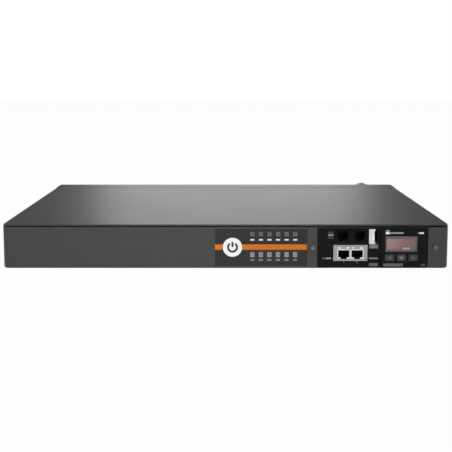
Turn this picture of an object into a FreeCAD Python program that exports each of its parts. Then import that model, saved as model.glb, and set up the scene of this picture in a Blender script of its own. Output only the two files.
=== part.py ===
import FreeCAD, Part
import os
import types
import Sketcher

# Driving sizes in millimetres. The origin lies under the middle of the case, with +X to the right
# seen from the front, +Y to the rear and +Z up.
sizes = {
    # case
    "case_width": 440.0,
    "case_height": 43.7,
    "case_depth": 246.0,
    "sheet": 1.2,
    "seam": 1.2,
    "lap_gap": 0.15,
    "corner_radius": 6.0,
    "bend_ease": 0.9,
    "front_return": 22.0,
    "rear_flange": 25.0,
    "tray_flange": 14.0,
    "tray_setback": 2.0,
    "cover_lift": 0.6,
    # one countersunk screw on each side holds the cover to the tray
    "screw_radius": 1.5,
    "screw_head_radius": 2.8,
    "screw_length": 6.0,
    "screw_height": 8.0,
    "screw_clearance": 0.15,
    "screw_setback": 61.0,
    # tapped holes for the rack brackets in both sides
    "bracket_setback": 48.0,
    "bracket_spacing": 30.0,
    "bracket_hole_radius": 2.15,
    # film label beside the module
    "label_width": 90.4,
    "label_gap": 0.5,
    "label_bottom": 2.5,
    "label_top_gap": 2.0,
    "film": 0.25,
    "stripe_rise": 0.2,
    "stripe_height": 5.4,
    "roundel_inset": 17.2,
    "roundel_radius": 9.5,
    "roundel_ring": 0.5,
    # metering module: faceplate, moulding in it and sleeve behind
    "module_margin": 8.5,
    "plate_width": 131.0,
    "plate_inset": 0.7,
    "plate_rise": 0.5,
    "plate_thickness": 1.2,
    "plate_screw_inset": 5.3,
    "plate_screw_radius": 1.5,
    "plate_screw_head_radius": 2.7,
    "plate_screw_head": 1.8,
    "plate_screw_length": 9.0,
    "mould_left_margin": 9.6,
    "mould_right_margin": 12.6,
    "mould_inset": 0.1,
    "mould_proud": 1.0,
    "mould_web": 0.8,
    "mould_wall": 1.2,
    "sleeve_step_x": 1.7,
    "sleeve_step_z": 1.1,
    "sleeve_gap": 0.3,
    "edge_ease": 0.5,
    "board_setback": 14.0,
    "board": 1.6,
    "housing_depth": 26.0,
    # the fittings below are laid out on a moulding of this size, from its lower left corner
    "layout_width": 108.8,
    "layout_height": 39.4,
    # display and keys
    "bezel_across": 84.0,
    "bezel_width": 44.6,
    "bezel_proud": 2.0,
    "window_across": 82.0,
    "window_rise": 23.6,
    "window_width": 31.4,
    "window_height": 15.8,
    "window_lip": 1.2,
    "window_lip_thickness": 0.8,
    "window_recess": 0.3,
    "part_gap": 0.1,
    "glass_gap": 0.15,
    "display_rib": 2.4,
    "rib_width": 2.2,
    "display_margin": 2.6,
    "key_pitch": 11.5,
    "key_rise": 10.4,
    "key_width": 9.0,
    "key_height": 6.6,
    "key_gap": 0.3,
    "key_proud": 0.9,
    "key_lip": 0.6,
    "key_lip_thickness": 0.8,
    "key_travel": 0.8,
    "key_rest": 0.25,
    "switch_size": 5.0,
    "plunger_size": 2.6,
    "plunger_height": 0.5,
    "lens_across": 101.6,
    "lens_rise": 19.8,
    "lens_radius": 1.75,
    # jacks
    "jack_fit": 0.2,
    "jack_proud": 0.4,
    "shell": 0.4,
    "network_across": 32.4,
    "network_rise": 14.6,
    "network_width": 33.4,
    "network_height": 15.7,
    "network_contacts": 8,
    "port_pitch": 13.2,
    "port_width": 11.0,
    "port_height": 7.0,
    "port_drop": 0.8,
    "port_depth": 12.0,
    "latch_width": 6.0,
    "latch_height": 1.8,
    "led_width": 2.6,
    "led_height": 1.7,
    "led_depth": 2.5,
    "led_drop": 2.9,
    "sensor_across": 33.1,
    "sensor_pitch": 16.5,
    "sensor_rise": 31.2,
    "sensor_width": 13.4,
    "sensor_height": 11.2,
    "sensor_contacts": 4,
    "sensor_port_width": 9.8,
    "sensor_port_height": 7.6,
    "contact_pitch": 1.02,
    "contact_width": 0.45,
    "contact_thickness": 0.5,
    "contact_start": 4.0,
    "contact_length": 6.0,
    "usb_across": 55.5,
    "usb_rise": 30.9,
    "usb_width": 7.4,
    "usb_height": 12.0,
    "usb_flare": 1.3,
    "usb_depth": 9.5,
    "tongue_left": 0.5,
    "tongue_thickness": 3.2,
    "tongue_margin": 0.2,
    "tongue_recess": 0.3,
    # outlets share the rear between a left margin and the cord's corner
    "outlet_count": 12,
    "outlet_left_margin": 9.4,
    "cord_corner": 75.4,
    "outlet_gap": 0.4,
    "outlet_clearance": 9.0,
    "outlet_flange": 1.6,
    "outlet_wall": 1.2,
    "outlet_depth": 24.0,
    "outlet_fit": 0.2,
    "socket_rim": 1.4,
    "socket_brow": 3.0,
    "socket_chamfer": 5.0,
    "socket_depth": 16.0,
    "groove": 2.3,
    "groove_chamfer_loss": 1.35,
    "pin_spacing": 14.0,
    "pin_drop": 2.0,
    "slot_width": 2.6,
    "slot_height": 4.8,
    # contact bars
    "bus_thickness": 1.0,
    "bus_height": 5.0,
    "bus_standoff": 1.0,
    "bus_reach": 8.0,
    "bus_low": 9.0,
    "earth_setback": 5.0,
    "leaf_thickness": 0.5,
    "leaf_gap": 1.2,
    "leaf_height": 4.2,
    "leaf_length": 16.0,
    "support_grip": 3.0,
    "support_wall": 2.0,
    "support_margin": 4.0,
    "earth_foot_gap": 3.0,
    "bus_fit": 0.2,
    "terminal_inset": 56.0,
    "terminal_width": 17.0,
    "entry_size": 6.0,
    "entry_depth": 9.0,
    "transformer_width": 7.0,
    "transformer_window": 8.4,
    "transformer_wall": 3.8,
    # cord gland
    "gland_inset": 32.0,
    "gland_drop": 14.0,
    "gland_thread_radius": 9.4,
    "gland_bore_radius": 6.4,
    "gland_hex": 13.0,
    "gland_hex_height": 6.0,
    "gland_thread": 9.0,
    "gland_fit": 0.25,
    "dome_radius": 10.4,
    "dome_length": 31.0,
    "dome_grip": 11.0,
    "nut_height": 5.0,
    # boards inside
    "meter_inset": 3.7,
    "meter_gap": 7.4,
    "meter_depth": 84.0,
    "standoff_height": 6.0,
    "standoff_radius": 2.9,
    "standoff_inset": 5.0,
    "connector_width": 44.0,
    "connector_height": 8.0,
    "connector_length": 30.0,
    "socket_length": 9.0,
    "supply_width": 46.0,
    "supply_depth": 28.0,
    "supply_height": 20.0,
    "supply_setback": 49.0,
}

doc = FreeCAD.newDocument("RackPowerUnit")
sheet = doc.addObject("Spreadsheet::Sheet", "Sizes")
for row, (name, value) in enumerate(sizes.items(), start=1):
    sheet.set(f"A{row}", name)
    sheet.set(f"B{row}", str(value))
    sheet.setAlias(f"B{row}", name)
doc.recompute()


# A size keeps its number together with the spreadsheet expression that it comes from.
class Size:
    def __init__(self, value, text):
        self.value = value
        self.text = text

    def __add__(self, other):
        other = as_size(other)
        return Size(self.value + other.value, f"({self.text} + {other.text})")

    def __sub__(self, other):
        other = as_size(other)
        return Size(self.value - other.value, f"({self.text} - {other.text})")

    def __mul__(self, other):
        other = as_size(other)
        return Size(self.value * other.value, f"({self.text} * {other.text})")

    def __truediv__(self, other):
        other = as_size(other)
        return Size(self.value / other.value, f"({self.text} / {other.text})")

    def __neg__(self):
        return Size(-self.value, f"(0 - {self.text})")

    def __radd__(self, other):
        return as_size(other) + self

    def __rsub__(self, other):
        return as_size(other) - self

    def __rmul__(self, other):
        return as_size(other) * self


def as_size(item):
    if isinstance(item, Size):
        return item
    return Size(float(item), f"({float(item)})")


def bind(item, prop, size):
    item.setExpression(prop, as_size(size).text)


s = types.SimpleNamespace(**{name: Size(float(value), f"Sizes.{name}") for name, value in sizes.items()})
nodes = {}


# Names an object of the document as a piece of the assembly.
def node(label, item):
    item.Label = label
    nodes[label] = item
    return item


# Lower and upper limit of a width that lies about a centre.
def about(centre, width):
    return (centre - width / 2, centre + width / 2)


# Block between two limits on each axis.
def block(x, y, z):
    solid = doc.addObject("Part::Box", "Block")
    for prop, axis, (low, high) in zip(("Length", "Width", "Height"), "xyz", (x, y, z)):
        bind(solid, prop, as_size(high) - low)
        bind(solid, f"Placement.Base.{axis}", low)
    return solid


turns = {
    "x": FreeCAD.Rotation(FreeCAD.Vector(0, 1, 0), 90),
    "-x": FreeCAD.Rotation(FreeCAD.Vector(0, 1, 0), -90),
    "y": FreeCAD.Rotation(FreeCAD.Vector(1, 0, 0), -90),
    "z": FreeCAD.Rotation(),
}


# Turns a primitive's own +Z to the named axis and moves its base to a point.
def aim(solid, axis, base):
    solid.Placement = FreeCAD.Placement(FreeCAD.Vector(), turns[axis])
    for letter, size in zip("xyz", base):
        bind(solid, f"Placement.Base.{letter}", size)
    return solid


def rod(axis, base, radius, length):
    solid = doc.addObject("Part::Cylinder", "Rod")
    bind(solid, "Radius", radius)
    bind(solid, "Height", length)
    return aim(solid, axis, base)


def cone(axis, base, radius, tip_radius, length):
    solid = doc.addObject("Part::Cone", "Cone")
    bind(solid, "Radius1", radius)
    bind(solid, "Radius2", tip_radius)
    bind(solid, "Height", length)
    return aim(solid, axis, base)


def hexagon(axis, base, radius, length):
    solid = doc.addObject("Part::Prism", "Hexagon")
    solid.Polygon = 6
    bind(solid, "Circumradius", radius)
    bind(solid, "Height", length)
    return aim(solid, axis, base)


def fuse(*solids):
    joined = doc.addObject("Part::MultiFuse", "Fusion")
    joined.Shapes = list(solids)
    joined.Refine = True
    return joined


def group(solids):
    gathered = doc.addObject("Part::Compound", "Group")
    gathered.Links = list(solids)
    return gathered


def cut(base, *tools):
    remainder = doc.addObject("Part::Cut", "Cut")
    remainder.Base = base
    remainder.Tool = tools[0] if len(tools) == 1 else group(tools)
    return remainder


def new_body():
    return doc.addObject("PartDesign::Body", "Body")


def origin_item(body, role):
    return next(item for item in body.Origin.OriginFeatures if item.Role == role)


# Ties a point of a sketch to a distance from the sketch's origin.
def pin(drawn, kind, edge, point, size):
    size = as_size(size)
    row = drawn.addConstraint(Sketcher.Constraint(kind, -1, 1, edge, point, size.value))
    bind(drawn, f"Constraints[{row}]", size)


def draw_polygon(drawn, corners):
    first = drawn.GeometryCount
    count = len(corners)
    points = [FreeCAD.Vector(as_size(x).value, as_size(y).value, 0) for x, y in corners]
    for index in range(count):
        drawn.addGeometry(Part.LineSegment(points[index], points[(index + 1) % count]))
    for index in range(count):
        following = first + (index + 1) % count
        drawn.addConstraint(Sketcher.Constraint("Coincident", first + index, 2, following, 1))
    for index, (x, y) in enumerate(corners):
        pin(drawn, "DistanceX", first + index, 1, x)
        pin(drawn, "DistanceY", first + index, 1, y)


def draw_circle(drawn, x, y, radius):
    centre = FreeCAD.Vector(as_size(x).value, as_size(y).value, 0)
    edge = drawn.addGeometry(Part.Circle(centre, FreeCAD.Vector(0, 0, 1), radius.value))
    pin(drawn, "DistanceX", edge, 3, x)
    pin(drawn, "DistanceY", edge, 3, y)
    row = drawn.addConstraint(Sketcher.Constraint("Radius", edge, radius.value))
    bind(drawn, f"Constraints[{row}]", radius)


# Rectangle as a polygon, from its limits on two axes.
def rectangle(across, up):
    return [(across[0], up[0]), (across[1], up[0]), (across[1], up[1]), (across[0], up[1])]


# Pad or pocket of a profile that runs along the plane's positive axis between two limits. A loop is
# a list of corners, or a tuple of a centre and a radius.
def prism(body, kind, plane, limits, loops):
    forwards = plane != "XZ"
    drawn = body.newObject("Sketcher::SketchObject", "Sketch")
    drawn.AttachmentSupport = [(origin_item(body, plane + "_Plane"), "")]
    drawn.MapMode = "FlatFace"
    bind(drawn, "AttachmentOffset.Base.z", limits[0] if forwards else -as_size(limits[0]))
    for loop in loops:
        if isinstance(loop, tuple):
            draw_circle(drawn, *loop)
        else:
            draw_polygon(drawn, loop)
    feature = body.newObject("PartDesign::" + kind, kind)
    feature.Profile = drawn
    feature.Reversed = forwards == (kind == "Pocket")
    bind(feature, "Length", as_size(limits[1]) - limits[0])
    doc.recompute()
    return feature


# Rounds or bevels the edges of a body's last feature that a test picks by their bounding box.
def ease_edges(body, kind, size, picks):
    base = body.Tip
    names = [f"Edge{row}" for row, edge in enumerate(base.Shape.Edges, start=1) if picks(edge.BoundBox)]
    eased = body.newObject("PartDesign::" + kind, kind)
    eased.Base = (base, names)
    bind(eased, "Radius" if kind == "Fillet" else "Size", size)
    doc.recompute()
    return eased


def near(number, size):
    return abs(number - as_size(size).value) < 0.01


def flat_at(limits_low, limits_high, size):
    return near(limits_low, size) and near(limits_high, size)


def repeat_along_x(body, features, length, count):
    pattern = body.newObject("PartDesign::LinearPattern", "LinearPattern")
    pattern.Originals = features
    pattern.Direction = (origin_item(body, "X_Axis"), [""])
    bind(pattern, "Length", length)
    bind(pattern, "Occurrences", count)
    body.Tip = pattern
    doc.recompute()
    return pattern


front = -s.case_depth / 2
rear = s.case_depth / 2
half = s.case_width / 2
inner = half - s.sheet
full_width = (-half, half)
panel_top = s.case_height - s.sheet - s.seam
cover_end = rear - s.rear_flange - s.seam
tray_half = inner - s.lap_gap
clear_hole = s.screw_radius + s.screw_clearance

# Inward direction at each side, and places along the sides as (y, z).
inwards = (("-x", half), ("x", -half))
cover_screw = (rear - s.screw_setback, s.screw_height)
bracket_holes = [(y, s.case_height / 2) for y in about(front + s.bracket_setback, s.bracket_spacing)]


# Tools that pierce both sides of the case.
def side_rods(places, radius):
    return [rod("x", (-half - s.sheet, y, z), radius, s.case_width + s.sheet * 2) for y, z in places]


def base_tray():
    body = new_body()
    outline = [
        (-tray_half, 0), (tray_half, 0), (tray_half, s.tray_flange), (tray_half - s.sheet, s.tray_flange),
        (tray_half - s.sheet, s.sheet), (s.sheet - tray_half, s.sheet),
        (s.sheet - tray_half, s.tray_flange), (-tray_half, s.tray_flange),
    ]
    start = front + s.corner_radius
    end = rear - s.sheet - s.tray_setback
    prism(body, "Pad", "XZ", (start, end), [outline])
    # The floor stops short of the returns of the two end panels, which lie in line with it.
    floor_cut = rectangle(full_width, (-s.sheet, s.sheet + s.lap_gap))
    prism(body, "Pocket", "XZ", (front, front + s.front_return + s.lap_gap), [floor_cut])
    prism(body, "Pocket", "XZ", (rear - s.rear_flange - s.lap_gap, rear), [floor_cut])
    return node("base_tray", cut(body, *side_rods([cover_screw], clear_hole)))


def top_cover():
    body = new_body()
    top = (s.case_height - s.sheet, s.case_height)
    prism(body, "Pad", "XY", top, [rectangle(full_width, (front, cover_end))])
    ease_edges(body, "Fillet", s.corner_radius,
               lambda box: near(box.ZLength, s.sheet) and near(box.YMin, front))
    sides = (front + s.front_return + s.seam, cover_end)
    walls = [rectangle((inner, half), sides), rectangle((-half, -inner), sides)]
    prism(body, "Pad", "XY", (s.cover_lift, s.case_height - s.sheet), walls)
    ease_edges(body, "Chamfer", s.bend_ease,
               lambda box: flat_at(box.ZMin, box.ZMax, s.case_height) and not near(box.YMin, cover_end))
    wide = s.screw_head_radius + s.screw_clearance
    sinks = [cone(axis, (x, *cover_screw), wide, clear_hole, s.sheet) for axis, x in inwards]
    return node("top_cover", cut(body, *sinks, *side_rods(bracket_holes, s.bracket_hole_radius)))


# Hollows a body from its open end, leaving walls of one sheet.
def hollow_from(body, open_y):
    base = body.Tip
    mouth = [f"Face{row}" for row, face in enumerate(base.Shape.Faces, start=1)
             if flat_at(face.BoundBox.YMin, face.BoundBox.YMax, open_y)]
    hollow = body.newObject("PartDesign::Thickness", "Thickness")
    hollow.Base = (base, mouth)
    hollow.Reversed = True
    bind(hollow, "Value", s.sheet)
    doc.recompute()


# The front is a shallow pan with rounded ends. Its lower edge is bent round, its upper one meets the seam.
def front_panel():
    body = new_body()
    open_y = front + s.front_return
    prism(body, "Pad", "XY", (0, panel_top), [rectangle(full_width, (front, open_y))])
    ease_edges(body, "Fillet", s.corner_radius,
               lambda box: near(box.ZLength, panel_top) and flat_at(box.YMin, box.YMax, front))
    hollow_from(body, open_y)
    ease_edges(body, "Chamfer", s.bend_ease,
               lambda box: flat_at(box.ZMin, box.ZMax, 0) and not flat_at(box.YMin, box.YMax, open_y))
    prism(body, "Pocket", "XZ", (front, front + s.sheet), [sleeve_hole, *plate_screw_holes])
    return node("front_panel", body)


def rear_panel():
    body = new_body()
    open_y = rear - s.rear_flange
    prism(body, "Pad", "XY", (0, s.case_height), [rectangle(full_width, (open_y, rear))])
    hollow_from(body, open_y)
    ease_edges(body, "Chamfer", s.bend_ease,
               lambda box: flat_at(box.YMin, box.YMax, rear) and near(box.ZLength, 0))
    wall = (rear - s.sheet, rear)
    opening = rectangle(about(first_outlet_x, outlet_body_width + s.outlet_fit * 2),
                        about(outlet_z, outlet_body_height + s.outlet_fit * 2))
    window = prism(body, "Pocket", "XZ", wall, [opening])
    repeat_along_x(body, [window], outlet_run, s.outlet_count)
    prism(body, "Pocket", "XZ", wall, [(gland_x, gland_z, s.gland_thread_radius + s.gland_fit)])
    return node("rear_panel", body)


def case_screws():
    screws = []
    for axis, x in inwards:
        base = (x, *cover_screw)
        head = cone(axis, base, s.screw_head_radius, s.screw_radius, s.sheet)
        screws.append(fuse(head, rod(axis, base, s.screw_radius, s.screw_length)))
    return node("case_screws", group(screws))


def front_print():
    film_front = front - s.film
    label_left = label_right - s.label_width
    label_z = (s.label_bottom, panel_top - s.label_top_gap)
    node("front_label", block((label_left, label_right), (film_front, front), label_z))
    layer = (film_front - s.film, film_front)
    stripe_z = about(plate_z + s.stripe_rise, s.stripe_height)
    stripe = block((label_left, label_right), layer, stripe_z)
    base = (label_left + s.roundel_inset, film_front - s.film, plate_z)
    node("accent_stripe", cut(stripe, rod("y", base, s.roundel_radius + s.roundel_ring, s.film)))
    node("roundel", rod("y", base, s.roundel_radius, s.film))


# Limits of the metering module. Its plate keeps to the right end, and the label fills up to it.
plate_right = half - s.module_margin
plate_left = plate_right - s.plate_width
plate_z = panel_top / 2 + s.plate_rise
plate_height = panel_top - s.plate_inset * 2
label_right = plate_left - s.label_gap
plate_screw_x = (plate_left + s.plate_screw_inset, plate_right - s.plate_screw_inset)
plate_screw_holes = [(x, plate_z, s.plate_screw_radius + s.screw_clearance) for x in plate_screw_x]
mould_x = (plate_left + s.mould_left_margin, plate_right - s.mould_right_margin)
mould_z = about(plate_z, plate_height - s.mould_inset * 2)


# Limits moved inwards by a margin, or outwards by a negative one.
def inset(limits, margin):
    return (limits[0] + margin, limits[1] - margin)


sleeve_x = inset(mould_x, s.sleeve_step_x)
sleeve_z = inset(mould_z, s.sleeve_step_z)
sleeve_hole = rectangle(inset(sleeve_x, -s.sleeve_gap), inset(sleeve_z, -s.sleeve_gap))
hollow_x = inset(sleeve_x, s.mould_wall)
hollow_z = inset(sleeve_z, s.mould_wall)

# Depths through the module, from its face to the board at its back.
plate_face = front - s.plate_thickness
mould_face = plate_face - s.mould_proud
web_back = plate_face + s.mould_web
bezel_face = mould_face - s.bezel_proud
display_board_face = web_back + s.display_rib
board_face = front + s.board_setback
board_back = board_face + s.board
jack_face = mould_face - s.jack_proud
jack_depth = (jack_face, board_face)

# The layout of the fittings stretches with the moulding.
stretch_x = (mould_x[1] - mould_x[0]) / s.layout_width
stretch_z = (mould_z[1] - mould_z[0]) / s.layout_height


def place_x(across):
    return mould_x[0] + across * stretch_x


def place_z(rise):
    return mould_z[0] + rise * stretch_z


# Limits of a fitting about its place on the moulding.
def fitting(across, rise, width, height):
    return about(place_x(across), width * stretch_x), about(place_z(rise), height * stretch_z)


window_x, window_z = fitting(s.window_across, s.window_rise, s.window_width, s.window_height)
bezel_x = about(place_x(s.bezel_across), s.bezel_width * stretch_x)
lens_x = place_x(s.lens_across)
lens_z = place_z(s.lens_rise)
display_x = (window_x[0] - s.display_margin, lens_x + s.lens_radius + s.part_gap)
display_z = (hollow_z[0] + s.part_gap, window_z[1] + s.display_margin)
key_places = {
    "key_back": s.window_across - s.key_pitch,
    "key_select": s.window_across,
    "key_next": s.window_across + s.key_pitch,
}
key_limits = {label: fitting(across, s.key_rise, s.key_width, s.key_height)
              for label, across in key_places.items()}
sensor_limits = [fitting(across, s.sensor_rise, s.sensor_width, s.sensor_height)
                 for across in about(s.sensor_across, s.sensor_pitch)]
network_limits = fitting(s.network_across, s.network_rise, s.network_width, s.network_height)
usb_limits = fitting(s.usb_across, s.usb_rise, s.usb_width, s.usb_height)


# Rectangle about a fitting with a clearance all round.
def clear_of(limits, gap):
    return rectangle(inset(limits[0], -gap), inset(limits[1], -gap))


def module_faceplate():
    body = new_body()
    outline = rectangle((plate_left, plate_right), about(plate_z, plate_height))
    prism(body, "Pad", "XZ", (plate_face, front), [outline, sleeve_hole, *plate_screw_holes])
    return node("module_faceplate", body)


def module_screws():
    screws = []
    for x in plate_screw_x:
        head_base = (x, plate_face - s.plate_screw_head, plate_z)
        head = rod("y", head_base, s.plate_screw_head_radius, s.plate_screw_head)
        shank = rod("y", (x, plate_face, plate_z), s.plate_screw_radius, s.plate_screw_length)
        screws.append(fuse(head, shank))
    return node("module_screws", group(screws))


# Moulded front: a flange on the faceplate, a sleeve through it, and openings for jacks and display.
def module_front():
    body = new_body()
    prism(body, "Pad", "XZ", (mould_face, plate_face), [rectangle(mould_x, mould_z)])
    ease_edges(body, "Chamfer", s.edge_ease, lambda box: flat_at(box.YMin, box.YMax, mould_face))
    prism(body, "Pad", "XZ", (plate_face, board_face), [rectangle(sleeve_x, sleeve_z)])
    prism(body, "Pocket", "XZ", (web_back, board_face), [rectangle(hollow_x, hollow_z)])
    apertures = [clear_of(limits, s.jack_fit) for limits in (*sensor_limits, network_limits, usb_limits)]
    prism(body, "Pocket", "XZ", (mould_face, web_back), [*apertures, rectangle(display_x, display_z)])
    ribs = [
        rectangle(display_x, (display_z[1] + s.part_gap, display_z[1] + s.rib_width)),
        rectangle((display_x[0] - s.rib_width, display_x[0] - s.part_gap), display_z),
    ]
    prism(body, "Pad", "XZ", (web_back, display_board_face), ribs)
    return node("module_front", body)


def display():
    bezel = new_body()
    prism(bezel, "Pad", "XZ", (bezel_face, mould_face), [rectangle(bezel_x, mould_z)])
    ease_edges(bezel, "Chamfer", s.edge_ease, lambda box: flat_at(box.YMin, box.YMax, bezel_face))
    key_holes = [clear_of(limits, s.key_gap) for limits in key_limits.values()]
    lens_hole = (lens_x, lens_z, s.lens_radius + s.part_gap)
    openings = [rectangle(window_x, window_z), *key_holes, lens_hole]
    prism(bezel, "Pocket", "XZ", (bezel_face, mould_face), openings)
    node("display_bezel", bezel)

    # The window has a lip behind the bezel, and the display panel stands on its board behind it.
    lip_back = mould_face + s.window_lip_thickness
    pane_depth = (bezel_face + s.window_recess, mould_face)
    pane = block(inset(window_x, s.glass_gap), pane_depth, inset(window_z, s.glass_gap))
    lip_x = inset(window_x, -s.window_lip)
    lip_z = inset(window_z, -s.window_lip)
    node("display_window", fuse(pane, block(lip_x, (mould_face, lip_back), lip_z)))
    node("display_panel", block(lip_x, (lip_back + s.part_gap, display_board_face), lip_z))
    board_x = (display_x[0] - s.rib_width, display_x[1])
    board_z = (display_z[0], display_z[1] + s.rib_width)
    node("display_board", block(board_x, (display_board_face, display_board_face + s.board), board_z))
    lens_length = display_board_face - bezel_face - s.window_recess
    node("status_lens", rod("y", (lens_x, bezel_face + s.window_recess, lens_z), s.lens_radius, lens_length))


def middle(limits):
    return (limits[0] + limits[1]) / 2


def keys():
    key_face = bezel_face - s.key_proud
    lip_face = mould_face + s.key_rest
    lip_back = lip_face + s.key_lip_thickness
    # The plunger waits just beyond the key's travel.
    plunger_face = lip_back + s.key_travel + s.part_gap
    switch_face = plunger_face + s.plunger_height
    switches = []
    for label, limits in key_limits.items():
        body = new_body()
        prism(body, "Pad", "XZ", (key_face, lip_face), [rectangle(*limits)])
        ease_edges(body, "Chamfer", s.edge_ease, lambda box: flat_at(box.YMin, box.YMax, key_face))
        prism(body, "Pad", "XZ", (lip_face, lip_back), [clear_of(limits, s.key_lip)])
        node(label, body)
        x, z = middle(limits[0]), middle(limits[1])
        base = block(about(x, s.switch_size), (switch_face, display_board_face), about(z, s.switch_size))
        plunger = block(about(x, s.plunger_size), (plunger_face, switch_face), about(z, s.plunger_size))
        switches.append(fuse(base, plunger))
    node("key_switches", group(switches))


# Room for one modular plug: a square port with a slot for the latch under it.
def plug_space(x, z, depth, latch_width):
    port = block(x, depth, z)
    latch = block(about(middle(x), latch_width), depth, (z[0] - s.latch_height * stretch_z, z[0]))
    return fuse(port, latch)


def jacks():
    latch_width = s.latch_width * stretch_x
    contacts = []
    start = jack_face + s.contact_start
    wires = (start, start + s.contact_length)

    def comb(x, ceiling, count):
        pitch = s.contact_pitch * stretch_x
        first = x - pitch * (count - 1) / 2
        for index in range(int(count.value)):
            wire_x = about(first + pitch * index, s.contact_width)
            contacts.append(block(wire_x, wires, (ceiling - s.contact_thickness, ceiling)))

    port_rise = s.sensor_rise + s.latch_height / 2
    places = about(s.sensor_across, s.sensor_pitch)
    for label, across, limits in zip(("sensor_jack_left", "sensor_jack_right"), places, sensor_limits):
        port = fitting(across, port_rise, s.sensor_port_width, s.sensor_port_height)
        space = plug_space(*port, (jack_face, jack_face + s.port_depth), latch_width)
        node(label, cut(block(limits[0], jack_depth, limits[1]), space))
        comb(middle(port[0]), port[1][1], s.sensor_contacts)

    network_x, network_z = network_limits
    inside_x = inset(network_x, s.shell)
    inside_z = inset(network_z, s.shell)
    insert_face = jack_face + s.shell
    net_ports = [fitting(across, s.network_rise - s.port_drop, s.port_width, s.port_height)
                 for across in about(s.network_across, s.port_pitch)]
    led_z = about(network_z[1] - s.led_drop * stretch_z, s.led_height)
    led_width = s.led_width * stretch_x
    led_limits = []
    for port_x, port_z in net_ports:
        led_limits += [(port_x[0], port_x[0] + led_width), (port_x[1] - led_width, port_x[1])]
    led_depth = (jack_face, jack_face + s.led_depth)

    def led_holes():
        return [block(inset(x, -s.part_gap), led_depth, inset(led_z, -s.part_gap)) for x in led_limits]

    def ports(depth):
        return [plug_space(*port, depth, latch_width) for port in net_ports]

    hollow = block(inside_x, (insert_face, board_face), inside_z)
    shell = block(network_x, jack_depth, network_z)
    node("network_jack_shell", cut(shell, hollow, *ports((jack_face, insert_face)), *led_holes()))
    filling = block(inset(inside_x, s.part_gap), (insert_face, board_face), inset(inside_z, s.part_gap))
    deep_ports = ports((insert_face, jack_face + s.port_depth))
    node("network_jack_insert", cut(filling, *deep_ports, *led_holes()))
    node("network_leds", group([block(x, led_depth, led_z) for x in led_limits]))
    for port_x, port_z in net_ports:
        comb(middle(port_x), port_z[1], s.network_contacts)
    node("jack_contacts", group(contacts))


def usb_port():
    across, up = usb_limits
    tube = block(across, (mould_face, board_face), up)
    flare = block(inset(across, -s.usb_flare), (jack_face, mould_face), inset(up, -s.usb_flare))
    inside_x = inset(across, s.shell)
    inside_z = inset(up, s.shell)
    node("usb_shell", cut(fuse(tube, flare), block(inside_x, jack_depth, inside_z)))
    heel_face = jack_face + s.usb_depth
    heel = block(inset(inside_x, s.part_gap), (heel_face, board_face), inset(inside_z, s.part_gap))
    left = inside_x[0] + s.tongue_left
    blade = block((left, left + s.tongue_thickness), (jack_face + s.tongue_recess, heel_face),
                  inset(inside_z, s.tongue_margin))
    node("usb_tongue", fuse(heel, blade))


meter_z = s.sheet + s.standoff_height
housing_end = board_back + s.housing_depth
connector_z = (meter_z + s.board, meter_z + s.board + s.connector_height)
connector_x = about(middle(mould_x), s.connector_width)
connector_end = board_back + s.connector_length
meter_x = inset(sleeve_x, s.meter_inset)
meter_front = housing_end + s.meter_gap
meter_y = (meter_front, meter_front + s.meter_depth)


def module_back():
    node("module_board", block(sleeve_x, (board_face, board_back), sleeve_z))
    shell = block(sleeve_x, (board_back, housing_end), sleeve_z)
    hollow = block(hollow_x, (board_back, housing_end - s.mould_wall), hollow_z)
    way_x = inset(connector_x, -s.jack_fit)
    way_out = block(way_x, (board_back, housing_end), inset(connector_z, -s.jack_fit))
    node("module_housing", cut(shell, hollow, way_out))
    node("module_connector", block(connector_x, (board_back, connector_end), connector_z))


def meter_electronics():
    top = meter_z + s.board
    node("meter_board", block(meter_x, meter_y, (meter_z, top)))
    posts = [hexagon("z", (x, y, s.sheet), s.standoff_radius, s.standoff_height)
             for x in inset(meter_x, s.standoff_inset) for y in inset(meter_y, s.standoff_inset)]
    node("board_standoffs", group(posts))
    node("meter_socket", block(connector_x, (connector_end, connector_end + s.socket_length), connector_z))
    supply_y = about(meter_front + s.supply_setback, s.supply_depth)
    supply_z = (top, top + s.supply_height)
    node("power_supply", block(about(middle(meter_x), s.supply_width), supply_y, supply_z))


outlet_pitch = (s.case_width - s.outlet_left_margin - s.cord_corner) / s.outlet_count
outlet_run = outlet_pitch * (s.outlet_count - 1)
first_outlet_x = s.outlet_left_margin - half + outlet_pitch / 2
outlet_z = s.case_height / 2
outlet_width = outlet_pitch - s.outlet_gap
outlet_height = s.case_height - s.outlet_clearance * 2
outlet_body_width = outlet_width - s.outlet_wall * 2
outlet_body_height = outlet_height - s.outlet_wall * 2
centred = Size(0.0, "0")
pin_places = [(-s.pin_spacing / 2, -s.pin_drop), (s.pin_spacing / 2, -s.pin_drop), (centred, s.pin_drop)]


# Six-sided outline of an outlet's socket, with its two upper corners cut off.
def socket_outline(margin, chamfer):
    across = outlet_width / 2 - s.socket_rim - margin
    up = outlet_height / 2 - s.socket_brow - margin
    return [(-across, -up), (across, -up), (across, up - chamfer), (across - chamfer, up),
            (chamfer - across, up), (-across, up - chamfer)]


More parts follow.
